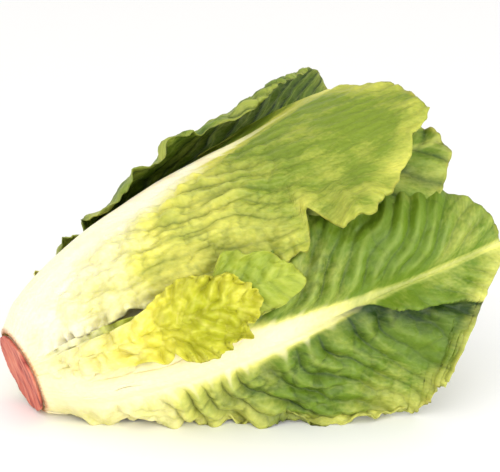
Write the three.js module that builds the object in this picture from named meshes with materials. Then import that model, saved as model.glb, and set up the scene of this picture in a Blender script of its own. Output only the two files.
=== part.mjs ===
// A head of romaine lettuce, cut at the stem and lying on its side.
// Millimetres, +Z up, the table at z = 0. +X runs from the cut stem to the leaf tips, and -Y is the near side.
// The head is a stem core with separate leaves around it, each wrapped on its own nested surface.
import * as THREE from "three";

// Driving dimensions
const CUT_RADIUS = 22.3; // the stem where the knife went through
const WRAP_CLEARANCE = 0.2; // from the cut stem's edge to the surface that the leaves wrap
const HEAD_SWELL = 50; // how much wider than the stem the wrapped leaves get
const SWELL_LENGTH = 70; // the distance in which most of that swelling happens
const CORE_LENGTH = 70; // stem core from the first leaf to where its taper would end
const CORE_CUT_SHORT = 0.93; // share of that taper where the core rounds off to its growing point
const CORE_POINT = 0.95;
const FIRST_LEAF = 2.5; // the outermost leaves leave the core this far above the cut
const AXIS_CLIMB = 17.5; // degrees that the axis climbs towards the wide leafy end
const ORIGIN_ALONG = 100; // the origin is under this point of the axis, near the middle of the resting face
const CORE_SEAT = 2.2; // middle of a leaf's base above the core's surface
const BASE_THICKNESS = 2.4; // a leaf where it starts at the core
const BLADE_THICKNESS = 1.6;
const OUTER_RIB = [26, 7]; // a midrib's width and thickness at the base
const INNER_RIB = [17, 3.4];
const TIP_NARROW = 0.42; // how much of the spread is lost at the tip
const LOOSE_FROM_CUT = 40; // distance in which a leaf that lies outside the wrap lifts off it
const GOLDEN_ANGLE = 137.5; // turn from one leaf to the next around the stem

// One leaf is described by:
//   angle, twist     where its midrib is round the axis, 0 on top and 90 on the near side, and its drift to the tip
//   level, length    its nested surface as a share of the wrap, and its reach along the axis
//   start, spread    degrees of blade on the two sides of the midrib, at the base and further up
//   opens            shares of the length between which the blade goes from start to spread
//   flare, flareOver millimetres that the two margins stand out from, or tuck under, the wrap, and where
//   round, lean      how far back the rounded tip's corners lie, and how far across its furthest point is
//   tip              millimetres that the tip stands out
const plainLeaf = {
  twist: 0, opens: [0.1, 0.6], flare: [0, 0], flareOver: [0.3, 0.9], round: 0.24,
  lean: 0, tip: 0,
};
const outerLeaves = [
  { name: "near_leaf", angle: 98, twist: -3, level: 1.06, length: 252, start: [16, 44], spread: [52, 42],
    opens: [0.36, 0.62], flare: [-22, 36], flareOver: [0.15, 0.7], round: 0.17, lean: -0.12, tip: 2 },
  { name: "far_leaf", angle: -90, twist: 6, level: 1.07, length: 236, start: [42, 36], spread: [56, 72],
    opens: [0.05, 0.4], flare: [14, 24], flareOver: [0.15, 0.95], lean: 0.45, tip: 2 },
  { name: "top_leaf", angle: -13, twist: -2, level: 1, length: 249, start: [32, 64], spread: [40, 78],
    flare: [8, 6], flareOver: [0.5, 1], round: 0.17, lean: 0.3 },
  { name: "bottom_leaf", angle: 184, twist: 3, level: 0.995, length: 240, start: [38, 30], spread: [58, 48],
    tip: -4 },
];
const showingLeaves = [
  { name: "shoulder_leaf", angle: 36, twist: 8, level: 0.876, length: 252, start: [36, 8], spread: [40, 14],
    opens: [0.5, 0.85], lean: 0.2, tip: 4 },
  { name: "back_leaf", angle: 236, level: 0.87, length: 240, start: [45, 45], spread: [60, 60] },
  { name: "pale_leaf", angle: 60, twist: 14, level: 1.01, length: 162, start: [4, 3], spread: [13, 24],
    opens: [0.55, 0.8], flare: [-16, 12], lean: 0.3, tip: 4 },
  { name: "yellow_leaf", angle: 72, twist: 4, level: 1.19, length: 134, start: [6, 7], spread: [9, 17],
    flare: [0, 10], flareOver: [0.1, 0.7], lean: 0.2, tip: 4 },
];
const INNER_COUNT = 15;
const INNER_FIRST = { angle: 150, level: 0.8, length: 230 };
const INNER_LAST = { level: 0.17, length: 104, ribShare: 0.45 };
const INNER_START = 40;
const INNER_SPREAD = 66;
const INNER_TIP = -16; // millimetres that a heart leaf's tip bends inwards, times its level

const rad = THREE.MathUtils.degToRad;
const lerp = THREE.MathUtils.lerp;
const ease = THREE.MathUtils.smoothstep;

const innerLeaves = Array.from({ length: INNER_COUNT }, (_, i) => {
  const inward = i / (INNER_COUNT - 1);
  const level = lerp(INNER_FIRST.level, INNER_LAST.level, inward);
  return {
    name: `inner_leaf_${String(i + 1).padStart(2, "0")}`,
    angle: INNER_FIRST.angle + GOLDEN_ANGLE * i,
    level,
    tip: INNER_TIP * level,
    length: lerp(INNER_FIRST.length, INNER_LAST.length, inward),
    start: [INNER_START, INNER_START],
    spread: [INNER_SPREAD, INNER_SPREAD],
    rib: INNER_RIB.map((size) => size * lerp(1, INNER_LAST.ribShare, inward)),
  };
});

// The head's own frame: x along the axis from the cut, z up square to it, and y away from the near side.
const climb = rad(AXIS_CLIMB);
const axisHeight = (along) => CUT_RADIUS * Math.cos(climb) + along * Math.sin(climb);
const tableDepth = (along) => axisHeight(along) / Math.cos(climb);
const swell = (along) => HEAD_SWELL * (1 - Math.exp(-along / SWELL_LENGTH));
const wrapRadius = (along) => CUT_RADIUS + WRAP_CLEARANCE + swell(along);
const baseAlong = (level) => FIRST_LEAF + CORE_LENGTH * Math.max(0, 1 - level);
const coreShare = (along) => 1 - (along - FIRST_LEAF) / CORE_LENGTH;
const coreRadius = (along) => coreShare(along) * wrapRadius(along) - CORE_SEAT;

// A leaf's middle surface at u from base to tip and v from -1 to 1 across
function leafPoint(leaf, u, v) {
  const side = v < 0 ? 0 : 1;
  const base = baseAlong(leaf.level);
  const reach = leaf.length - base;
  const along = base + reach * (u - leaf.round * (v - leaf.lean) ** 2 * u ** 3);
  const opened = lerp(leaf.start[side], leaf.spread[side], ease(u, ...leaf.opens));
  const narrowed = 1 - TIP_NARROW * ease(u, 0.7, 1.12);
  const turn = rad(leaf.angle + leaf.twist * u + v * opened * narrowed);
  const loose = leaf.level > 1 ? lerp(1, leaf.level, ease(along, 0, LOOSE_FROM_CUT)) : leaf.level;
  const stand = leaf.flare[side] * ease(u, ...leaf.flareOver) * v ** 2 + leaf.tip * ease(u, 0.6, 1);
  const radius = loose * wrapRadius(along) + stand;
  return new THREE.Vector3(along, -radius * Math.sin(turn), radius * Math.cos(turn));
}

// Thickness of a leaf: a thin blade, and a midrib that stands out of it, narrows and fades towards the tip
function leafThickness(leaf, u, across) {
  const [width, thick] = leaf.rib;
  const rounded = Math.exp(-((across / (width * lerp(0.5, 0.16, u))) ** 2));
  const ribbed = (thick - BLADE_THICKNESS) * rounded * (1 - ease(u, 0.05, 0.95));
  return lerp(BASE_THICKNESS, BLADE_THICKNESS + ribbed, ease(u, 0, 0.08));
}

// The closed skin of a leaf: two faces of a net of points, and the strip between them round the margin.
// The midrib is pressed flat where the leaf lies on the table.
function leafGeometry(leaf, cells) {
  const [rows, columns] = cells;
  const inside = BLADE_THICKNESS / 2;
  const step = 1e-3;
  const faces = [[], []];
  for (let i = 0; i <= rows; i++)
    for (let j = 0; j <= columns; j++) {
      const u = i / rows;
      const v = (2 * j) / columns - 1;
      const middle = leafPoint(leaf, u, v);
      const alongEdge = leafPoint(leaf, u + step, v).sub(leafPoint(leaf, u - step, v));
      const acrossEdge = leafPoint(leaf, u, v + step).sub(leafPoint(leaf, u, v - step));
      const outward = acrossEdge.cross(alongEdge).normalize();
      const outside = leafThickness(leaf, u, middle.distanceTo(leafPoint(leaf, u, 0))) - inside;
      [outside, -inside].forEach((offset, face) => {
        const point = middle.clone().addScaledVector(outward, offset);
        const rest = -Math.min(leaf.level, 1) * tableDepth(point.x);
        point.z = Math.max(point.z, face === 0 ? rest : rest + BLADE_THICKNESS);
        faces[face].push(point);
      });
    }
  const inner = faces[0].length;
  const at = (i, j) => i * (columns + 1) + j;
  const triangles = [];
  const quad = (a, b, c, d) => triangles.push(a, b, c, a, c, d);
  for (let i = 0; i < rows; i++)
    for (let j = 0; j < columns; j++) {
      const corners = [at(i, j), at(i, j + 1), at(i + 1, j + 1), at(i + 1, j)];
      quad(...corners);
      quad(...corners.map((k) => k + inner).reverse());
    }
  const rim = [];
  for (let j = 0; j < columns; j++) rim.push(at(0, j));
  for (let i = 0; i < rows; i++) rim.push(at(i, columns));
  for (let j = columns; j > 0; j--) rim.push(at(rows, j));
  for (let i = rows; i > 0; i--) rim.push(at(i, 0));
  rim.forEach((a, k) => {
    const b = rim[(k + 1) % rim.length];
    quad(b, a, a + inner, b + inner);
  });
  return new THREE.BufferGeometry().setFromPoints(faces.flat()).setIndex(triangles);
}

// The stem core, turned about the head's axis and as flat underneath as the leaves around it
const CORE_STEPS = 14;
const CORE_SIDES = 28;
function coreGeometry() {
  const profile = [new THREE.Vector2(0, 0), new THREE.Vector2(CUT_RADIUS, 0)];
  for (let i = 0; i < CORE_STEPS; i++) {
    const along = FIRST_LEAF + (i / CORE_STEPS) * CORE_LENGTH * CORE_CUT_SHORT;
    profile.push(new THREE.Vector2(coreRadius(along), along));
  }
  profile.push(new THREE.Vector2(0, FIRST_LEAF + CORE_LENGTH * CORE_POINT));
  const turned = new THREE.LatheGeometry(profile, CORE_SIDES).rotateZ(-Math.PI / 2);
  const points = turned.getAttribute("position");
  for (let i = 0; i < points.count; i++) {
    const along = points.getX(i);
    const lowest = CORE_SEAT - coreShare(along) * tableDepth(along);
    if (along > FIRST_LEAF / 2) points.setZ(i, Math.max(points.getZ(i), lowest));
  }
  return turned;
}

const finish = (color, roughness) => new THREE.MeshStandardMaterial({ color, roughness, metalness: 0 });
const stemFinish = finish("#c9756a", 0.7);
const outerFinish = finish("#8fb13f", 0.5);
const innerFinish = finish("#cfd85f", 0.5);

const head = new THREE.Group();
function addPiece(name, geometry, pieceFinish) {
  const piece = new THREE.Mesh(geometry, pieceFinish);
  piece.name = name;
  head.add(piece);
}
const OUTER_CELLS = [14, 12];
const INNER_CELLS = [9, 8];
function addLeaf(described, cells, rib, leafFinish) {
  const leaf = { ...plainLeaf, rib, ...described };
  addPiece(leaf.name, leafGeometry(leaf, cells), leafFinish);
}
addPiece("stem_core", coreGeometry(), stemFinish);
outerLeaves.forEach((leaf) => addLeaf(leaf, OUTER_CELLS, OUTER_RIB, outerFinish));
showingLeaves.forEach((leaf) => addLeaf(leaf, OUTER_CELLS, INNER_RIB, outerFinish));
innerLeaves.forEach((leaf) => addLeaf(leaf, INNER_CELLS, INNER_RIB, innerFinish));

head.rotation.y = -climb;
head.position.set(-ORIGIN_ALONG * Math.cos(climb), 0, axisHeight(0));
const lettuce = new THREE.Group();
lettuce.add(head);
export default lettuce;
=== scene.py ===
import math

import bpy
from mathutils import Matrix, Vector, noise


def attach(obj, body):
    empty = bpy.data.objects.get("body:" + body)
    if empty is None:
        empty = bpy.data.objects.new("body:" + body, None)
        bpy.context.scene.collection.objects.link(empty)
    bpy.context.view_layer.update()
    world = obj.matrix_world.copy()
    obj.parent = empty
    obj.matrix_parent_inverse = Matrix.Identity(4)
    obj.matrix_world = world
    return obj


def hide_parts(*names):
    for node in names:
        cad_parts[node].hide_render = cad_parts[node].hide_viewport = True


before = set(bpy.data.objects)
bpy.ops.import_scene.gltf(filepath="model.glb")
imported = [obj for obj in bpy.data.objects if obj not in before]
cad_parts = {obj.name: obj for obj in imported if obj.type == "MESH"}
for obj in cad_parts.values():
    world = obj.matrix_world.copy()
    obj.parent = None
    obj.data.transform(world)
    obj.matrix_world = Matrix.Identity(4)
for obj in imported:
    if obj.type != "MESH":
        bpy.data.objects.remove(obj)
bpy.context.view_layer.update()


# Stem core
# The short white stem that every leaf grows from, tapering inside the head to its growing point.
# Its cut end is the only part that shows: a knife cut, browned and reddened by the air.
CUT_RADIUS = 22.3  # millimetres, as all the sizes below, in the head's own frame: x along its axis
WRAP_AT_CUT = CUT_RADIUS + 0.2  # radius at the cut of the surface that a leaf of level 1 follows
HEAD_SWELL = 50.0
SWELL_LENGTH = 70.0
CORE_LENGTH = 70.0
FIRST_LEAF = 2.5
CORE_SEAT = 2.2
AXIS_CLIMB = math.radians(17.5)
ORIGIN_ALONG = 100.0
MILLIMETRE = 0.001
HEAD_TURN = (0.0, -AXIS_CLIMB, 0.0)
HEAD_PLACE = (
    -ORIGIN_ALONG * math.cos(AXIS_CLIMB) * MILLIMETRE,
    0.0,
    CUT_RADIUS * math.cos(AXIS_CLIMB) * MILLIMETRE,
)


def colour(red, green, blue):
    """A screen colour from 0 to 255 as the linear colour that materials take."""
    shares = [value / 255 for value in (red, green, blue)]
    return (*[s / 12.92 if s <= 0.04045 else ((s + 0.055) / 1.055) ** 2.4 for s in shares], 1.0)


def core_radius(along):
    wrap = WRAP_AT_CUT + HEAD_SWELL * (1 - math.exp(-along / SWELL_LENGTH))
    return (1 - (along - FIRST_LEAF) / CORE_LENGTH) * wrap - CORE_SEAT


def in_the_head(point):
    """A point in the head's own frame, in millimetres, as a place on the table, in metres."""
    x, y, z = point
    cos, sin = math.cos(AXIS_CLIMB), math.sin(AXIS_CLIMB)
    turned = Vector((x * cos - z * sin, y, x * sin + z * cos)) * MILLIMETRE
    return turned + Vector(HEAD_PLACE)


def rough(y, z, seed, height):
    """Unevenness of the cut at a place on it, the same on every run."""
    return noise.noise(Vector((y, z, seed))) * height


CORE_SIDES = 160
FACE_RINGS = 26
CORE_RINGS = 20
RIM_RADIUS = 21.9
ROUNDED_RIM = ((21.8, 0.6), (21.4, 1.4), (20.9, 2.3), (20.6, 3.2))  # radius, and depth behind the cut
CUT_SLANT = 0.13  # the knife went through a little slanted, so that the near side is cut deeper
SLANT_LENGTH = 36.0
CUT_PROUD = 0.9
CUT_DISH = 0.9
CHIPPED_DEPTH = 3.0
BROWNED_DEPTH = 2.0
SIDE_START = FIRST_LEAF + 2
SIDE_LENGTH = CORE_LENGTH * 0.93 - 2
GROWING_POINT = FIRST_LEAF + CORE_LENGTH * 0.95
profile = [(RIM_RADIUS * (i / FACE_RINGS), 0.0) for i in range(1, FACE_RINGS + 1)]
profile += ROUNDED_RIM
for i in range(1, CORE_RINGS):
    along = SIDE_START + i / CORE_RINGS * SIDE_LENGTH
    profile.append((core_radius(along), along))
points = [in_the_head((CUT_DISH - CUT_PROUD + CUT_SLANT * RIM_RADIUS, 0, 0))]
cut_share = [1.0]
for ring, (radius, along) in enumerate(profile):
    for side in range(CORE_SIDES):
        turn = 2 * math.pi * side / CORE_SIDES
        y, z = math.sin(turn), math.cos(turn)
        rim = min(1.0, radius / RIM_RADIUS) if along < CHIPPED_DEPTH else 0
        chipped = rough(y * 5, z * 5, 3.1, 0.7) + rough(y * 14, z * 14, 7.7, 0.35)
        out = radius + chipped * rim ** 6
        grooves = rough(y * radius * 0.32, z * radius * 0.12, 1.7, 0.55)
        pits = rough(y * radius * 0.9, z * radius * 0.5, 9.2, 0.25)
        dish = CUT_DISH * (1 - (radius / RIM_RADIUS) ** 2)
        depth = along + (dish + grooves + pits if ring < FACE_RINGS else 0)
        inside = min(1.0, along / SLANT_LENGTH)
        still_slanted = 1 - inside * inside * (3 - 2 * inside)
        slant = CUT_SLANT * (out * y + RIM_RADIUS) * still_slanted
        points.append(in_the_head((depth - CUT_PROUD + slant, -out * y, out * z)))
        cut_share.append(1.0 if along < BROWNED_DEPTH else 0.0)
points.append(in_the_head((GROWING_POINT, 0, 0)))
cut_share.append(0.0)
faces = []
for side in range(CORE_SIDES):
    after = (side + 1) % CORE_SIDES
    faces.append((0, 1 + side, 1 + after))
    for ring in range(len(profile) - 1):
        here, there = 1 + ring * CORE_SIDES, 1 + (ring + 1) * CORE_SIDES
        faces.append((here + side, there + side, there + after, here + after))
    last = 1 + (len(profile) - 1) * CORE_SIDES
    faces.append((last + side, len(points) - 1, last + after))
core_mesh = bpy.data.meshes.new("stem_core_surface")
core_mesh.from_pydata(points, [], faces)
core_mesh.attributes.new("cut", "FLOAT", "POINT").data.foreach_set("value", cut_share)
core_mesh.shade_smooth()
core_mesh.update()


def link(tree, source, target):
    tree.links.new(source, target)


def plain_material(name, roughness):
    """A new material, and its tree and Principled node."""
    material = bpy.data.materials.new(name)
    material.use_nodes = True
    shader = material.node_tree.nodes["Principled BSDF"]
    shader.inputs["Roughness"].default_value = roughness
    return material, material.node_tree, shader


def ramp(tree, value, stops):
    """A colour ramp over value; stops are (place, colour)."""
    node = tree.nodes.new("ShaderNodeValToRGB")
    elements = node.color_ramp.elements
    while len(elements) < len(stops):
        elements.new(0.5)
    for element, (place, shade) in zip(elements, stops):
        element.position = place
        element.color = shade
    link(tree, value, node.inputs["Fac"])
    return node.outputs["Color"]


def noise_texture(tree, vector, scale, detail=4.0):
    node = tree.nodes.new("ShaderNodeTexNoise")
    node.inputs["Scale"].default_value = scale
    node.inputs["Detail"].default_value = detail
    link(tree, vector, node.inputs["Vector"])
    return node.outputs["Fac"]


def mixed(tree, share, first, second):
    """Two colours mixed by share; each may be a colour or a socket."""
    node = tree.nodes.new("ShaderNodeMix")
    node.data_type = "RGBA"
    for socket, value in ((node.inputs[0], share), (node.inputs[6], first), (node.inputs[7], second)):
        if isinstance(value, tuple):
            socket.default_value = value
        else:
            link(tree, value, socket)
    return node.outputs[2]


def attribute(tree, name):
    node = tree.nodes.new("ShaderNodeAttribute")
    node.attribute_name = name
    return node


cut_stem, tree, shader = plain_material("cut_stem", 0.62)
place = tree.nodes.new("ShaderNodeTexCoord").outputs["Object"]
stretched = tree.nodes.new("ShaderNodeMapping")
stretched.inputs["Rotation"].default_value = HEAD_TURN
stretched.inputs["Scale"].default_value = (60, 210, 55)
link(tree, place, stretched.inputs["Vector"])
streaks = noise_texture(tree, stretched.outputs["Vector"], 1.0, 6.0)
browned = ramp(tree, streaks, [(0.30, colour(136, 50, 42)), (0.47, colour(200, 100, 82)),
                               (0.60, colour(218, 126, 100)), (0.75, colour(230, 166, 134))])
STEM_WHITE = colour(246, 238, 206)
stem_colour = mixed(tree, attribute(tree, "cut").outputs["Fac"], STEM_WHITE, browned)
link(tree, stem_colour, shader.inputs["Base Color"])
shader.inputs["Subsurface Weight"].default_value = 0.15
shader.inputs["Subsurface Scale"].default_value = 0.002
grain = tree.nodes.new("ShaderNodeBump")
grain.inputs["Strength"].default_value = 0.5
grain.inputs["Distance"].default_value = 0.0006
link(tree, streaks, grain.inputs["Height"])
link(tree, grain.outputs["Normal"], shader.inputs["Normal"])
core_mesh.materials.append(cut_stem)
core = bpy.data.objects.new("stem", core_mesh)
bpy.context.scene.collection.objects.link(core)
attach(core, "root")
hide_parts("stem_core")


# Heart leaves
# Leaf inside leaf round the core, each a thin ribbed blade on its own nested surface, getting smaller and
# paler inwards. All the head's leaves grow by one rule, a Geometry Nodes tree that later sections use too.
class Number:
    """A number that the leaf tree works out. Arithmetic on it adds Math nodes."""

    tree = None

    def __init__(self, socket):
        self.socket = socket

    def __add__(self, other):
        return worked("ADD", self, other)

    def __sub__(self, other):
        return worked("SUBTRACT", self, other)

    def __mul__(self, other):
        return worked("MULTIPLY", self, other)

    def __truediv__(self, other):
        return worked("DIVIDE", self, other)

    def __pow__(self, other):
        return worked("POWER", self, other)

    def __radd__(self, other):
        return worked("ADD", other, self)

    def __rsub__(self, other):
        return worked("SUBTRACT", other, self)

    def __rmul__(self, other):
        return worked("MULTIPLY", other, self)

    def __neg__(self):
        return worked("MULTIPLY", self, -1.0)


def feed(socket, value):
    """Gives a node's input a plain number, a worked one or another node's output."""
    if isinstance(value, Number):
        Number.tree.links.new(value.socket, socket)
    elif isinstance(value, bpy.types.NodeSocket):
        Number.tree.links.new(value, socket)
    else:
        socket.default_value = value


def worked(operation, *terms):
    node = Number.tree.nodes.new("ShaderNodeMath")
    node.operation = operation
    for socket, term in zip(node.inputs, terms):
        feed(socket, term)
    return Number(node.outputs[0])


def ease(value, start, end, low=0.0, high=1.0, smooth=True):
    """Goes from low to high while value goes from start to end."""
    node = Number.tree.nodes.new("ShaderNodeMapRange")
    node.interpolation_type = "SMOOTHSTEP" if smooth else "LINEAR"
    for socket, term in zip(node.inputs, (value, start, end, low, high)):
        feed(socket, term)
    return Number(node.outputs[0])


def vector(x, y, z):
    node = Number.tree.nodes.new("ShaderNodeCombineXYZ")
    for socket, term in zip(node.inputs, (x, y, z)):
        feed(socket, term)
    return node.outputs[0]


def uneven(x, y, z, detail=1.0):
    """Smooth noise from -0.5 to 0.5, with a period of about one in each direction."""
    node = Number.tree.nodes.new("ShaderNodeTexNoise")
    node.inputs["Scale"].default_value = 1.0
    node.inputs["Detail"].default_value = detail
    feed(node.inputs["Vector"], vector(x, y, z))
    return Number(node.outputs[0]) - 0.5


def to_cell_edge(x, y, z):
    """Distance to the nearest border in a net of uneven cells about one across."""
    node = Number.tree.nodes.new("ShaderNodeTexVoronoi")
    node.feature = "DISTANCE_TO_EDGE"
    node.inputs["Scale"].default_value = 1.0
    feed(node.inputs["Vector"], vector(x, y, z))
    return Number(node.outputs["Distance"])


def lower(first, second):
    return worked("MINIMUM", first, second)


def higher(first, second):
    return worked("MAXIMUM", first, second)


def sine(turns):
    return worked("SINE", turns * (2 * math.pi))


def bell(distance, width):
    return worked("EXPONENT", -((distance / width) ** 2.0))


def node_after(kind, geometry, **inputs):
    """Adds a geometry node behind geometry, with its inputs by name, and gives its geometry output."""
    node = Number.tree.nodes.new(kind)
    Number.tree.links.new(geometry, node.inputs[0])
    for name, value in inputs.items():
        feed(node.inputs[name.replace("_", " ")], value)
    return node.outputs[0]


def keep(geometry, name, value, kind="FLOAT"):
    """Keeps a value at each point of the leaf, for its material."""
    node = Number.tree.nodes.new("GeometryNodeStoreNamedAttribute")
    node.data_type = kind
    node.inputs["Name"].default_value = name
    Number.tree.links.new(geometry, node.inputs["Geometry"])
    feed(node.inputs["Value"], value)
    return node.outputs["Geometry"]


# What one leaf is described by. Sizes and the crease's place are millimetres, angles are degrees, and curl is
# radians at the margin. Names ending in 1 and 2 are the two sides of the midrib. Names with from and to, lip
# at, and rib taper, end and fade are shares of the leaf's length.
LEAF = {
    "angle": 0.0, "twist": 0.0, "level": 1.0, "length": 240.0, "start 1": 40.0, "start 2": 40.0,
    "spread 1": 60.0, "spread 2": 60.0, "opens from": 0.1, "opens to": 0.6, "flare 1": 0.0, "flare 2": 0.0,
    "flare from": 0.3, "flare to": 0.9, "round 1": 0.24, "round 2": 0.24, "lean": 0.0, "tip": 0.0,
    "curl 1": 0.0, "curl 2": 0.0, "curl share": 0.7, "curl from": 0.3, "curl to": 0.7, "spill": 0.0,
    "crease": 0.0, "crease at": 150.0, "crease lean": 2.0, "lip": 0.0, "lip at": 0.6, "notch": 0.0,
    "rib width": 24.0, "rib thickness": 5.5, "rib taper": 0.15, "rib end": 0.88, "rib fade": 0.58,
    "rib show": 1.0, "blade": 0.7, "crumple": 1.0, "crumple size": 13.0, "vein gap": 13.0, "vein fade": 1.0,
    "vein lean 1": 0.8, "vein lean 2": 0.8, "vein depth": 1.8, "vein show": 0.7, "pucker": 0.9,
    "pucker size": 8.0, "swell": 1.5, "ruffle 1": 2.5, "ruffle 2": 2.5, "ruffle gap": 24.0,
    "ruffle reach": 26.0, "frill 1": 1.0, "frill 2": 1.0, "frill gap": 9.0, "ragged 1": 1.0, "ragged 2": 1.0,
    "smooth tip": 0.0, "relief 1": 1.0, "relief 2": 1.0, "green from": 0.1, "green to": 0.6,
    "green reach": 16.0, "green low": 0.12, "pale margin 1": 0.15, "pale margin 2": 0.15, "seed": 0.0,
}
leaf_tree = bpy.data.node_groups.new("romaine leaf", "GeometryNodeTree")
Number.tree = leaf_tree
leaf_tree.interface.new_socket("geometry", in_out="INPUT", socket_type="NodeSocketGeometry")
sockets = {}
for name, usual in LEAF.items():
    sockets[name] = leaf_tree.interface.new_socket(name, in_out="INPUT", socket_type="NodeSocketFloat")
    sockets[name].default_value = usual
for name in ("rows", "columns"):
    sockets[name] = leaf_tree.interface.new_socket(name, in_out="INPUT", socket_type="NodeSocketInt")
sockets["finish"] = leaf_tree.interface.new_socket("finish", in_out="INPUT", socket_type="NodeSocketMaterial")
leaf_tree.interface.new_socket("leaf", in_out="OUTPUT", socket_type="NodeSocketGeometry")
given = leaf_tree.nodes.new("NodeGroupInput").outputs
leaf = {name: Number(given[name]) for name in LEAF}

# The net of points: u from the leaf's base to its tip, v from -1 to 1 across it
grid = leaf_tree.nodes.new("GeometryNodeMeshGrid")
link(leaf_tree, given["rows"], grid.inputs["Vertices X"])
link(leaf_tree, given["columns"], grid.inputs["Vertices Y"])
split = leaf_tree.nodes.new("ShaderNodeSeparateXYZ")
link(leaf_tree, grid.outputs["UV Map"], split.inputs[0])
u = Number(split.outputs[0])
v = Number(split.outputs[1]) * 2.0 - 1.0
side = worked("GREATER_THAN", v, 0.0)
hand = side * 2.0 - 1.0
across_share = worked("ABSOLUTE", v)
seed = leaf["seed"]


def of_side(name):
    """The leaf's value for the side of the midrib that a point is on."""
    return leaf[name + " 1"] + (leaf[name + " 2"] - leaf[name + " 1"]) * side


# The wrapped surface. Where ease() reads u, its start and end are shares of the leaf's length.
LEAF_FOOT = 0.7
TIP_TEETH = 9.0
TIP_NARROWING = 0.42
LOOSE_BY = 40.0
FLATTEST_BEND = 0.001  # not zero, because the bend divides
base = LEAF_FOOT + CORE_LENGTH * higher(1.0 - leaf["level"], 0.0)
reach = leaf["length"] - base
tip_edge = ease(u, 0.72, 1.0)
tip_ragged = uneven(v * 3.2, seed, 4.0, 3.0) * of_side("ragged") * TIP_TEETH * tip_edge
past_lean = worked("GREATER_THAN", v, leaf["lean"])
from_lean = (v - leaf["lean"]) / (1.0 + leaf["lean"] - 2.0 * leaf["lean"] * past_lean)
rounded = leaf["round 1"] + (leaf["round 2"] - leaf["round 1"]) * past_lean
along = base + reach * (u - rounded * from_lean ** 2.0 * u ** 3.0) + tip_ragged
opening = ease(u, leaf["opens from"], leaf["opens to"])
opened = of_side("start") + (of_side("spread") - of_side("start")) * opening
narrowed = 1.0 - TIP_NARROWING * ease(u, 0.7, 1.12)
broad_scallops = 0.12 * uneven(u * 7.0, side * 9.0, seed, 2.0)
small_scallops = 0.09 * uneven(u * 26.0, side * 9.0, seed + 2.0, 2.0)
notch = leaf["notch"] * side * bell(u - leaf["lip at"] + 0.085, 0.022)
outline = 1.0 + (broad_scallops + small_scallops) * of_side("ragged") * ease(u, 0.02, 0.2) - notch
half_turn = worked("RADIANS", opened * narrowed * outline)
wrap = WRAP_AT_CUT + HEAD_SWELL * (1.0 - worked("EXPONENT", -(along / SWELL_LENGTH)))
loose = lower(leaf["level"], 1.0) + higher(leaf["level"] - 1.0, 0.0) * ease(along, 0.0, LOOSE_BY)
lip = leaf["lip"] * side * bell(u - leaf["lip at"], 0.06) * ease(across_share, 0.72, 1.0)
flared = of_side("flare") * ease(u, leaf["flare from"], leaf["flare to"]) * (v * outline) ** 2.0
stand = flared + leaf["tip"] * ease(u, 0.6, 1.0) + lip
radius = loose * wrap + stand
half_width = radius * half_turn
bend = of_side("curl") * ease(u, leaf["curl from"], leaf["curl to"]) + FLATTEST_BEND
curled = ease(across_share, leaf["curl share"], 1.0, smooth=False)
strip = half_width * (1.0 - leaf["curl share"])
across = lower(across_share, leaf["curl share"]) * half_width + strip * worked("SINE", bend * curled) / bend
rolled_in = strip * (1.0 - worked("COSINE", bend * curled)) / bend
turn = worked("RADIANS", leaf["angle"] + leaf["twist"] * u) + hand * across / radius
sideways = -((radius - rolled_in) * worked("SINE", turn))
upright = (radius - rolled_in) * worked("COSINE", turn)
SEAT = 1.6
axis_height = CUT_RADIUS * math.cos(AXIS_CLIMB) + along * math.sin(AXIS_CLIMB)
table = -(lower(leaf["level"], 1.0) * axis_height * (1 / math.cos(AXIS_CLIMB))) + SEAT
below = higher(table - upright, 0.0)
slanted = CUT_SLANT * (RIM_RADIUS - sideways) * ease(along, SLANT_LENGTH, 0.0)
surface = node_after(
    "GeometryNodeSetPosition", grid.outputs["Mesh"],
    Position=vector(along + slanted, sideways - leaf["spill"] * below, higher(upright, table)),
)

# Veins, puckers, creases and ruffles, which stand out from that surface
flat_across = across_share * half_width
signed_across = flat_across * hand
from_margin = lower((1.0 - across_share) * half_width, (1.0 - u) * reach)
rib_half = leaf["rib width"] * ease(u, leaf["rib taper"], leaf["rib end"], 0.5, 0.03, smooth=False)
off_rib = ease(flat_across, rib_half * 0.7, rib_half + lower(half_width * 0.2, 10.0))
beside_rib = (1.0 - leaf["rib show"] * (1.0 - off_rib)) * ease(u, 0.03, 0.2)
FAN_FROM = 0.62
TIP_RADIUS = 70.0
DRIFT_SIZE = 42.0
SHIVER_SIZE = 11.0
SLOW_SIZE = 48.0
fanned = base + reach * FAN_FROM
round_tip = math.pi / 2 - worked("ARCTAN2", flat_across + 0.01, higher(along - fanned, 0.0))
margin_line = lower(along, fanned) + round_tip * TIP_RADIUS
drift = uneven(along / DRIFT_SIZE, signed_across / DRIFT_SIZE, seed)
shiver = uneven(along / SHIVER_SIZE, signed_across / SHIVER_SIZE, seed + 5.0)
slow = uneven(along / SLOW_SIZE, signed_across / SLOW_SIZE, seed + 3.0)
strength = 1.0 + 2.0 * uneven(along / 30.0, signed_across / 20.0, seed + 8.0)
vein_lean = of_side("vein lean") * ease(u, 0.0, 1.0, 0.4, 1.15, smooth=False)


def own_number(row):
    """A random number from 0 to 1 that each vein has to itself."""
    node = Number.tree.nodes.new("ShaderNodeTexWhiteNoise")
    node.noise_dimensions = "1D"
    feed(node.inputs["W"], worked("ROUND", row))
    return Number(node.outputs["Value"])


VEIN_WANDER = 2.6
VEIN_SHIVER = 0.25
OTHER_SIDE = 20.5  # keeps one side's veins from mirroring the other's
FOLD_ROUNDING = 0.015
FOLD_SHARPNESS = 0.36


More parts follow.
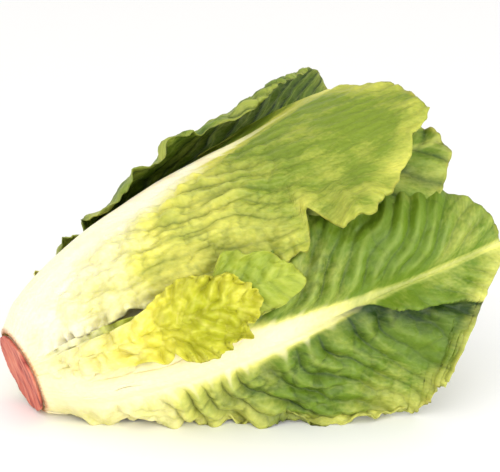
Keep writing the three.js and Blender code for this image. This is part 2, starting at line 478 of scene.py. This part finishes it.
def vein_rows(lean, gap, shift):
    """Veins leaving the midrib gap apart: their count along the rib, and the folded blade that they ridge."""
    row = (along - flat_across * lean) / gap + VEIN_WANDER * drift + VEIN_SHIVER * shiver
    row = row + OTHER_SIDE * side + shift + seed * 7.0
    wave = worked("SINE", math.pi * row)
    return row, (wave * wave + FOLD_ROUNDING) ** FOLD_SHARPNESS


vein_line = along - flat_across * vein_lean
main_row, main_fold = vein_rows(vein_lean, leaf["vein gap"], 0.0)
fork_row, fork_fold = vein_rows(vein_lean + 0.7, leaf["vein gap"] * 1.3, 0.3)
forked = ease(across_share, 0.25, 0.7)
crest = main_fold * (1.0 - 0.6 * forked * (1.0 - fork_fold)) * strength
pucker_size = leaf["pucker size"]
cell = to_cell_edge(vein_line / pucker_size + 0.8 * shiver, signed_across / (pucker_size * 1.3), seed)
panel = ease(cell, 0.0, 0.42)
CREASE_STEP = 2.0
CREASE_WANDER = 6.0
CREASE_DIP = 0.15
FADE_OVER_CREASE = 34.0
FADE_UNDER_CREASE = 26.0
past_crease = along - flat_across * leaf["crease lean"] - leaf["crease at"] + CREASE_WANDER * drift
over_fade = worked("EXPONENT", higher(past_crease, 0.0) / -FADE_OVER_CREASE)
under_fade = worked("EXPONENT", lower(past_crease, 0.0) / FADE_UNDER_CREASE)
over_crease = ease(past_crease, -CREASE_STEP, CREASE_STEP) * over_fade
under_crease = ease(past_crease, CREASE_STEP, -CREASE_STEP) * under_fade
crease = leaf["crease"] * side * (over_crease - CREASE_DIP * under_crease)
crease = crease * ease(flat_across, rib_half, rib_half + 7.0) * ease(u, 0.7, 1.0, 1.0, 0.3)
ruffle_swing = sine(margin_line / leaf["ruffle gap"] + 2.2 * drift + 0.3 * shiver) + 1.2 * slow
frill_swing = sine(margin_line / leaf["frill gap"] + 4.0 * drift + 1.0 * shiver) * strength
crumple_size = leaf["crumple size"]
valley = worked("ABSOLUTE", uneven(along / crumple_size, signed_across / crumple_size, seed + 6.0, 2.0))
crumpled = 2.2 * valley - 0.12
calm = ease(u, 0.45, 0.85, 1.0, leaf["vein fade"])
settled = 1.0 - leaf["smooth tip"] * ease(u, 0.5, 0.72)
FRILL_REACH = 9.0
folds = leaf["vein depth"] * crest + leaf["pucker"] * panel + leaf["crumple"] * 2.0 * crumpled
near_margin = ease(from_margin, leaf["ruffle reach"], 0.0)
at_margin = ease(from_margin, FRILL_REACH, 0.0)
relief = (
    folds * beside_rib * calm * of_side("relief")
    + crease
    + leaf["swell"] * 2.0 * slow * ease(u, 0.1, 0.4)
    + of_side("ruffle") * ruffle_swing * near_margin * ease(u, 0.02, 0.16) * settled
    + of_side("frill") * frill_swing * at_margin * ease(u, 0.02, 0.14) * settled
)
inward = leaf_tree.nodes.new("GeometryNodeInputNormal").outputs[0]


def outward(distance):
    """An offset by distance to the leaf's outer side."""
    node = leaf_tree.nodes.new("ShaderNodeVectorMath")
    node.operation = "SCALE"
    link(leaf_tree, inward, node.inputs[0])
    feed(node.inputs["Scale"], -distance)
    return node.outputs[0]


surface = node_after("GeometryNodeSetPosition", surface, Offset=outward(relief))

# What the material reads
rib = bell(flat_across, rib_half * 1.05 + 0.4)
green_width = leaf["green reach"] * ease(u, 0.1, 0.75, 1.7, 0.45)
off_cream = ease(flat_across, rib_half * 0.6, rib_half + green_width)
off_cream = higher(higher(off_cream, 1.0 - leaf["rib show"]), ease(u, 0.38, 0.75, 0.0, 0.8))
PALE_MARGIN_REACH = 22.0
light_margin = 1.0 - of_side("pale margin") * ease(from_margin, PALE_MARGIN_REACH, 0.0)
greenness = off_cream * ease(u, leaf["green from"], leaf["green to"], leaf["green low"], 1.0) * light_margin
surface = keep(surface, "rib", flat_across / (rib_half + 0.4))
rib_fading = ease(u, leaf["rib fade"] - 0.2, leaf["rib fade"] + 0.15, 1.0, 0.1)
surface = keep(surface, "rib tone", leaf["rib show"] * rib_fading)
surface = keep(surface, "veins", vector(main_row, fork_row, forked), "FLOAT_VECTOR")
surface = keep(surface, "beside", beside_rib * leaf["vein show"] * calm)
surface = keep(surface, "green", greenness + 0.3 * slow)
# Painted shade, kept for the material: the valleys between the vein ridges and of the crumple, and a painted
# shadow below the crease fold where the part above it overhangs
in_valley = ease(valley, 0.07, 0.0) * lower(leaf["crumple"] * 0.2, 1.0)
shaded = leaf["crease"] * 0.12 * side * under_crease
surface = keep(surface, "hollow", higher(1.0 - main_fold, in_valley) * beside_rib * calm + shaded)
WORN_REACH = 3.5
surface = keep(surface, "worn", ease(from_margin, WORN_REACH, 0.0) * ease(u, 0.3, 0.9))
surface = keep(surface, "foot", ease(along, 3.2, 1.2))
mottle_line = along - flat_across * lower(vein_lean, 0.8)
surface = keep(surface, "place", vector(mottle_line, signed_across, seed * 10.0), "FLOAT_VECTOR")

# The leaf's two faces, welded at the margin
rows_in = lower(u, 1.0 - u) * (Number(given["rows"]) - 1.0)
columns_in = (1.0 - across_share) * 0.5 * (Number(given["columns"]) - 1.0)
within = ease(rows_in, 0.0, 1.0, smooth=False) * ease(columns_in, 0.0, 1.0, smooth=False)
GROOVE_GAP = 2.6
GROOVE_DEPTH = 0.13
RIB_OUTWARD = 0.9
RIB_INWARD = 0.1
groove_drift = uneven(along / 60.0, signed_across / 5.0, seed)
grooves = sine(signed_across / GROOVE_GAP + 2.0 * groove_drift) * GROOVE_DEPTH
rib_bulge = leaf["rib thickness"] * bell(flat_across, rib_half)
rib_bulge = rib_bulge * ease(u, 0.1, 1.0, 1.0, 0.06) * ease(u, 0.0, 0.06, 0.3, 1.0)
outer_half = (leaf["blade"] * 0.5 + rib_bulge * RIB_OUTWARD + grooves * rib) * within
inner_half = (leaf["blade"] * 0.5 + rib_bulge * RIB_INWARD) * within
outer_face = node_after("GeometryNodeSetPosition", surface, Offset=outward(outer_half))
outer_face = node_after("GeometryNodeFlipFaces", outer_face)
inner_face = node_after("GeometryNodeSetPosition", surface, Offset=outward(-inner_half))
outer_face = keep(outer_face, "outside", 1.0)
inner_face = keep(inner_face, "outside", 0.0)
both = leaf_tree.nodes.new("GeometryNodeJoinGeometry")
link(leaf_tree, outer_face, both.inputs[0])
link(leaf_tree, inner_face, both.inputs[0])
WELD_DISTANCE = 0.0005
whole = node_after("GeometryNodeMergeByDistance", both.outputs[0], Distance=WELD_DISTANCE)
place_now = leaf_tree.nodes.new("ShaderNodeSeparateXYZ")
link(leaf_tree, leaf_tree.nodes.new("GeometryNodeInputPosition").outputs[0], place_now.inputs[0])
x_now, y_now, z_now = (Number(output) for output in place_now.outputs)
ABOVE_TABLE = 0.05
floor_height = CUT_RADIUS * math.cos(AXIS_CLIMB) + x_now * math.sin(AXIS_CLIMB)
floor_now = floor_height * (-1 / math.cos(AXIS_CLIMB)) + ABOVE_TABLE
whole = node_after("GeometryNodeSetPosition", whole, Position=vector(x_now, y_now, higher(z_now, floor_now)))
whole = node_after(
    "GeometryNodeTransform", whole,
    Translation=HEAD_PLACE, Rotation=HEAD_TURN, Scale=(MILLIMETRE, MILLIMETRE, MILLIMETRE),
)
whole = node_after("GeometryNodeSetShadeSmooth", whole)
whole = node_after("GeometryNodeRealizeInstances", whole)
whole = node_after("GeometryNodeSetMaterial", whole, Material=given["finish"])
link(leaf_tree, whole, leaf_tree.nodes.new("NodeGroupOutput").inputs[0])

HEAD_RADIUS = 75.0  # a usual one, for the number of points across a leaf


def grow_leaf(name, node, slot, finish, spacing, **described):
    """Grows one leaf with points about spacing millimetres apart, and rides it on the head."""
    values = {**LEAF, **{key.replace("_", " "): value for key, value in described.items()}}
    width = HEAD_RADIUS * math.radians(values["spread 1"] + values["spread 2"])
    values["rows"] = int(values["length"] / spacing)
    values["columns"] = int(width / spacing)
    values["finish"] = finish
    piece = bpy.data.objects.new(name, bpy.data.meshes.new(name))
    bpy.context.scene.collection.objects.link(piece)
    growth = piece.modifiers.new("growth", "NODES")
    growth.node_group = leaf_tree
    for key, value in values.items():
        growth[sockets[key].identifier] = value
    grown = piece.evaluated_get(bpy.context.evaluated_depsgraph_get())
    mesh = bpy.data.meshes.new_from_object(grown)
    piece.modifiers.remove(growth)
    piece.data = mesh
    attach(piece, "root")
    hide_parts(node)


# Leaf colours, shared by every leaf finish: cream at the rib and base, then young and ripe green, painted
# shade in the hollows and creases, pale veins, a fine net between them, worn margins and a browned foot at
# the knife cut
WORN_MARGIN = colour(196, 176, 74)
RIB_BLUSH = colour(236, 206, 168)
BROWNED_FOOT = colour(196, 128, 84)
colouring = bpy.data.node_groups.new("leaf colouring", "ShaderNodeTree")
for name in ("rib colour", "young colour", "ripe colour", "painted shade colour", "vein colour"):
    colouring.interface.new_socket(name, in_out="INPUT", socket_type="NodeSocketColor")
colouring.interface.new_socket("painted shade strength", in_out="INPUT", socket_type="NodeSocketFloat")
colouring.interface.new_socket("colour", in_out="OUTPUT", socket_type="NodeSocketColor")
colouring.interface.new_socket("height", in_out="OUTPUT", socket_type="NodeSocketFloat")
Number.tree = colouring
tones = colouring.nodes.new("NodeGroupInput").outputs
kept = {name: Number(attribute(colouring, name).outputs["Fac"])
        for name in ("rib", "rib tone", "beside", "green", "hollow", "worn", "foot", "outside")}
where = attribute(colouring, "place").outputs["Vector"]
split = colouring.nodes.new("ShaderNodeSeparateXYZ")
link(colouring, attribute(colouring, "veins").outputs["Vector"], split.inputs[0])
main_row, fork_row, forked = (Number(output) for output in split.outputs)
patches = Number(noise_texture(colouring, where, 0.05, 3.0)) - 0.5
specks = Number(noise_texture(colouring, where, 0.5, 4.0)) - 0.5


def net_lines(scale, width):
    """Thin lines of a net of uneven cells."""
    node = colouring.nodes.new("ShaderNodeTexVoronoi")
    node.feature = "DISTANCE_TO_EDGE"
    node.inputs["Scale"].default_value = scale
    link(colouring, where, node.inputs["Vector"])
    return ease(Number(node.outputs["Distance"]), 0.0, width, 1.0, 0.0)


def near_row(row, width):
    """One where row is a whole number, fading to nothing over width."""
    return ease(worked("PINGPONG", row, 0.5), 0.0, width, 1.0, 0.0)


vein_width = ease(forked, 0.0, 1.0, 0.22, 0.09, smooth=False)
main_vein = near_row(main_row + 0.5, vein_width) * (0.3 + 0.7 * own_number(main_row + 0.5))
# Thin lines of painted shade along the valleys of the vein folds
crease_shade_lines = near_row(main_row, 0.1) * own_number(main_row) * kept["hollow"]
fork_vein = near_row(fork_row, 0.08) * forked * own_number(fork_row)
net = net_lines(0.16, 0.1) * 0.16 + net_lines(0.42, 0.14) * 0.1
mottled = lower(higher(kept["green"] + patches * 0.7 + specks * 0.3, 0.0), 1.0)
low_green = lower(mottled * 2.0, 1.0)
high_green = higher(mottled * 2.0 - 1.0, 0.0)
blade = mixed(colouring, low_green.socket, tones["rib colour"], tones["young colour"])
blade = mixed(colouring, high_green.socket, blade, tones["ripe colour"])
# How far painted shade darkens the blade towards the shade colour: in the hollows, along the thin crease
# lines and under the crease fold, and more on the inner face
painted_shade_share = (kept["hollow"] ** 1.4 + 0.5 * crease_shade_lines) * Number(tones["painted shade strength"])
painted_shade_share = lower((painted_shade_share + (1.0 - kept["outside"]) * 0.3) * mottled, 1.0)
blade = mixed(colouring, painted_shade_share.socket, blade, tones["painted shade colour"])
pale_vein = higher(main_vein * ease(forked, 0.0, 1.0, 1.0, 0.5), fork_vein * 0.6)
paler = lower((pale_vein + net) * kept["beside"], 1.0)
blade = mixed(colouring, paler.socket, blade, tones["vein colour"])
worn = kept["worn"] * ease(patches, -0.05, 0.2, 0.0, 0.5)
blade = mixed(colouring, worn.socket, blade, WORN_MARGIN)
blush = ease(patches, 0.02, 0.2, 0.0, 0.4)
blushed = mixed(colouring, blush.socket, tones["rib colour"], RIB_BLUSH)
rib_mask = ease(kept["rib"], 0.72, 1.2 + 1.1 * main_vein, 1.0, 0.0) * kept["rib tone"]
blade = mixed(colouring, rib_mask.socket, blade, blushed)
foot = kept["foot"] * ease(specks, -0.2, 0.1, 0.5, 1.0)
blade = mixed(colouring, foot.socket, blade, BROWNED_FOOT)
given_out = colouring.nodes.new("NodeGroupOutput").inputs
link(colouring, blade, given_out["colour"])
fine = Number(noise_texture(colouring, where, 1.4, 3.0))
blisters = Number(noise_texture(colouring, where, 0.3, 3.0))
feed(given_out["height"], fine * 0.5 + blisters * 1.8 + (net * 0.8 + main_vein * 0.8) * kept["beside"])


# The fourth colour of each finish is painted shade for the hollows and creases, and the last number sets how
# strongly it is painted
def leaf_finish(name, rib, young, ripe, painted_shade, veins, painted_shade_strength):
    """A satin, slightly translucent leaf in its own tones."""
    material, tree, shader = plain_material(name, 0.46)
    toned = tree.nodes.new("ShaderNodeGroup")
    toned.node_tree = colouring
    for socket, value in zip(toned.inputs, (rib, young, ripe, painted_shade, veins, painted_shade_strength)):
        socket.default_value = value
    link(tree, toned.outputs["colour"], shader.inputs["Base Color"])
    skin = tree.nodes.new("ShaderNodeBump")
    skin.inputs["Strength"].default_value = 0.5
    skin.inputs["Distance"].default_value = 0.0009
    link(tree, toned.outputs["height"], skin.inputs["Height"])
    link(tree, skin.outputs["Normal"], shader.inputs["Normal"])
    shader.inputs["Subsurface Weight"].default_value = 0.3
    shader.inputs["Subsurface Radius"].default_value = (1.0, 1.0, 0.25)
    shader.inputs["Subsurface Scale"].default_value = 0.0015
    shader.inputs["Specular IOR Level"].default_value = 0.28
    return material


heart_finish = leaf_finish("heart_leaf", colour(246, 238, 200), colour(236, 228, 132), colour(208, 209, 84),
                           colour(170, 176, 60), colour(240, 232, 168), 0.5)
HEART_LEAVES = 15
GOLDEN_ANGLE = 137.5
for i in range(HEART_LEAVES):
    inner = i / (HEART_LEAVES - 1)
    level = 0.8 - 0.63 * inner
    grow_leaf(
        f"heart_leaf_{i + 1:02d}", f"inner_leaf_{i + 1:02d}", "heart_leaf", heart_finish, 2.6,
        angle=150 + GOLDEN_ANGLE * i, level=level, length=230 - 126 * inner, spread_1=66.0, spread_2=66.0,
        tip=-16 * level, rib_width=17 - 8 * inner, rib_thickness=3.0 - 1.6 * inner, vein_depth=1.0, swell=0.6,
        ruffle_1=1.2, ruffle_2=1.2, frill_1=0.8, frill_2=0.8, pucker=0.6, green_from=0.35, green_to=1.0,
        seed=20.0 + i,
    )


# Leaves that show between the outer ones
# The shoulder leaf at the open end, the back leaf low on the far side, and two small leaves that spill out
# at the front: a pale green one, and a yellow crumpled one.
green_finish = leaf_finish("green_leaf", colour(244, 233, 184), colour(208, 206, 104), colour(98, 125, 24),
                           colour(32, 58, 8), colour(164, 178, 84), 1.0)
pale_finish = leaf_finish("pale_leaf", colour(246, 240, 190), colour(188, 194, 74), colour(138, 156, 42),
                          colour(88, 110, 20), colour(196, 202, 100), 0.5)
yellow_finish = leaf_finish("yellow_leaf", colour(248, 238, 184), colour(222, 214, 80), colour(176, 180, 40),
                            colour(150, 146, 20), colour(232, 224, 120), 0.4)
grow_leaf(
    "shoulder_leaf_blade", "shoulder_leaf", "outer_leaf", green_finish, 1.4,
    angle=36, twist=8, level=0.876, length=248, start_1=36, start_2=8, spread_1=40, spread_2=46,
    opens_from=0.5, opens_to=0.85, lean=0.1, round_1=0.16, round_2=0.12, tip=3, rib_width=7, rib_end=0.7,
    rib_show=0.15, rib_thickness=2, ruffle_1=1.5, ruffle_2=1.5, green_reach=4, vein_show=0.4, seed=1.3,
)
grow_leaf(
    "back_leaf_blade", "back_leaf", "outer_leaf", green_finish, 2.0,
    angle=236, level=0.87, length=240, start_1=45, start_2=45, rib_width=17, rib_thickness=3.0, seed=2.1,
)
grow_leaf(
    "pale_leaf_blade", "pale_leaf", "pale_leaf", pale_finish, 0.9,
    angle=60, twist=12, level=1.1, length=145, start_1=4, start_2=3, spread_1=18, spread_2=15,
    opens_from=0.68, opens_to=0.84, flare_1=4, flare_2=0, lean=0.4, round_1=0.1, round_2=0.14, tip=5,
    rib_width=5, rib_end=0.5, rib_show=0, rib_thickness=0, vein_gap=10, vein_depth=1.2, pucker=1,
    crumple=1.5, ruffle_1=2, ruffle_2=0.6, ruffle_gap=20, ruffle_reach=12, frill_2=0.4, ragged_2=0.5,
    swell=1.5, green_from=0.2, green_to=0.5, green_reach=3, vein_show=0.4, seed=3.7,
)
grow_leaf(
    "yellow_leaf_blade", "yellow_leaf", "yellow_leaf", yellow_finish, 0.7,
    angle=71, twist=2, level=1.23, length=120, start_1=8, start_2=11, spread_1=17, spread_2=18,
    opens_from=0.4, opens_to=0.8, flare_2=7, flare_from=0.1, flare_to=0.7, lean=0.2, round_1=0.1,
    round_2=0.12, rib_width=9, rib_end=0.35, rib_show=0, rib_thickness=0, rib_taper=0, vein_gap=9,
    vein_depth=1.2, pucker=4.5, pucker_size=10, crumple=8, crumple_size=16, swell=2, ruffle_1=2,
    ruffle_2=3, ruffle_gap=17, ruffle_reach=10, frill_1=0.8, frill_2=1, frill_gap=8, ragged_1=1.2,
    ragged_2=1.3, notch=0.2, lip_at=0.7, green_from=0.16, green_to=0.85, green_reach=2, green_low=0.06,
    vein_show=0.3, seed=4.9,
)


# Outer leaves
# The four large leaves that make the outside of the head: under it, behind, on top and in front. Each has a
# broad cream midrib that stands out on its outer face, with pale veins and a ruffled green margin.
light_finish = leaf_finish("light_green_leaf", colour(250, 242, 206), colour(222, 216, 98),
                           colour(118, 138, 32), colour(60, 82, 16), colour(196, 202, 116), 0.8)
grow_leaf(
    "bottom_leaf_blade", "bottom_leaf", "outer_leaf", green_finish, 1.8,
    angle=184, twist=3, level=0.995, length=240, start_1=38, start_2=30, spread_1=44, spread_2=48, tip=-4,
    seed=5.5,
)
grow_leaf(
    "far_leaf_blade", "far_leaf", "outer_leaf", green_finish, 1.3,
    angle=-90, twist=6, level=1.07, length=236, start_1=42, start_2=44, spread_1=56, spread_2=74,
    opens_from=0.05, opens_to=0.4, flare_1=14, flare_2=26, flare_from=0.15, flare_to=0.95, lean=0.45,
    round_1=0.5, round_2=0.07, tip=2, curl_2=1.0, curl_from=0.45, curl_to=0.8, ruffle_2=3, frill_2=1.6,
    frill_gap=10, ragged_2=1, smooth_tip=0.85, green_from=0, green_to=0.3, seed=6.2,
)
grow_leaf(
    "top_leaf_blade", "top_leaf", "outer_leaf", light_finish, 1.0,
    angle=-5, twist=-6, level=1, length=241, start_1=38, start_2=64, spread_1=44, spread_2=76, flare_1=3,
    flare_2=8, flare_from=0.4, flare_to=0.9, round_1=0.42, round_2=0, lean=1, tip=5, rib_width=34,
    rib_taper=0.12, rib_end=0.78, rib_fade=0.7, vein_gap=16, vein_depth=2.4, vein_fade=0.25,
    vein_lean_2=2.1, vein_show=0.38, pucker=2.0, pucker_size=7, crumple=3.5, swell=2.5, relief_1=0.1,
    ruffle_1=0.3, ruffle_2=3.5, ruffle_gap=30, frill_1=0.2, frill_2=3.2, frill_gap=8, ragged_2=1.8,
    smooth_tip=0.8, lip=15, lip_at=0.76, notch=0.2, green_from=0.1, green_to=0.72, green_reach=20,
    green_low=0.2, pale_margin_2=0.2, seed=7.4,
)
grow_leaf(
    "near_leaf_blade", "near_leaf", "outer_leaf", green_finish, 1.0,
    angle=98, twist=-3, level=1.06, length=252, start_1=22, start_2=44, spread_1=52, spread_2=42,
    opens_from=0.28, opens_to=0.56, flare_1=-22, flare_2=36, flare_from=0.15, flare_to=0.7, round_1=0.13,
    round_2=0.21, lean=-0.12, tip=2, spill=0.8, rib_taper=0.45, rib_end=0.76, rib_fade=0.56, rib_width=17,
    vein_gap=13, vein_lean_1=1.25, vein_lean_2=0.65, vein_depth=5.2, vein_fade=0.5, vein_show=0.5,
    pucker=1.6, crumple=3.5, crumple_size=18, swell=3.5, crease=12, crease_at=165, crease_lean=2.6,
    ruffle_1=1.5, ruffle_2=5, ruffle_gap=26, frill_2=2.4, ragged_2=1.5, smooth_tip=0.95, green_from=0.1,
    green_to=0.58, green_reach=5, green_low=0.28, pale_margin_1=0.04, pale_margin_2=0.3, seed=8.8,
)


# Floor, light and camera
# A plain flat white floor in a white room, a broad soft light from the upper left in front, a low fill from
# the right in front, and the camera at the photograph's angle.
FLOOR_SIZE = 6.0
floor_mesh = bpy.data.meshes.new("floor")
corners = [(x * FLOOR_SIZE, y * FLOOR_SIZE, 0) for x, y in ((-1, -1), (1, -1), (1, 1), (-1, 1))]
floor_mesh.from_pydata(corners, [], [(0, 1, 2, 3)])
white, _, shader = plain_material("white_floor", 0.8)
shader.inputs["Base Color"].default_value = colour(250, 249, 247)
floor_mesh.materials.append(white)
floor = bpy.data.objects.new("floor", floor_mesh)
bpy.context.scene.collection.objects.link(floor)

world = bpy.data.worlds.new("white_room")
world.use_nodes = True
world.node_tree.nodes["Background"].inputs["Color"].default_value = (1, 1, 1, 1)
world.node_tree.nodes["Background"].inputs["Strength"].default_value = 1.0
bpy.context.scene.world = world
CAMERA_TARGET = Vector((0.035, -0.003, 0.084))
LIGHTS = (  # name, place, size and power
    ("key", (-0.5, -0.85, 0.8), 0.9, 5.0),
    ("fill", (0.4, -1.2, 0.2), 0.7, 10.0),
)
for name, place, size, power in LIGHTS:
    light_data = bpy.data.lights.new(name, "AREA")
    light_data.size = size
    light_data.energy = power
    light = bpy.data.objects.new(name, light_data)
    light.location = place
    light.rotation_euler = (CAMERA_TARGET - light.location).to_track_quat("-Z", "Y").to_euler()
    bpy.context.scene.collection.objects.link(light)

CAMERA_AZIMUTH = math.radians(-21)
CAMERA_ELEVATION = math.radians(18)
CAMERA_DISTANCE = 0.9
camera_data = bpy.data.cameras.new("camera")
camera_data.lens = 120
camera_data.sensor_width = 36
camera = bpy.data.objects.new("camera", camera_data)
away = Vector((math.sin(CAMERA_AZIMUTH) * math.cos(CAMERA_ELEVATION),
               -math.cos(CAMERA_AZIMUTH) * math.cos(CAMERA_ELEVATION), math.sin(CAMERA_ELEVATION)))
camera.location = CAMERA_TARGET + away * CAMERA_DISTANCE
camera.rotation_euler = (-away).to_track_quat("-Z", "Y").to_euler()
bpy.context.scene.collection.objects.link(camera)
bpy.context.scene.camera = camera
bpy.context.scene.view_settings.view_transform = "Standard"
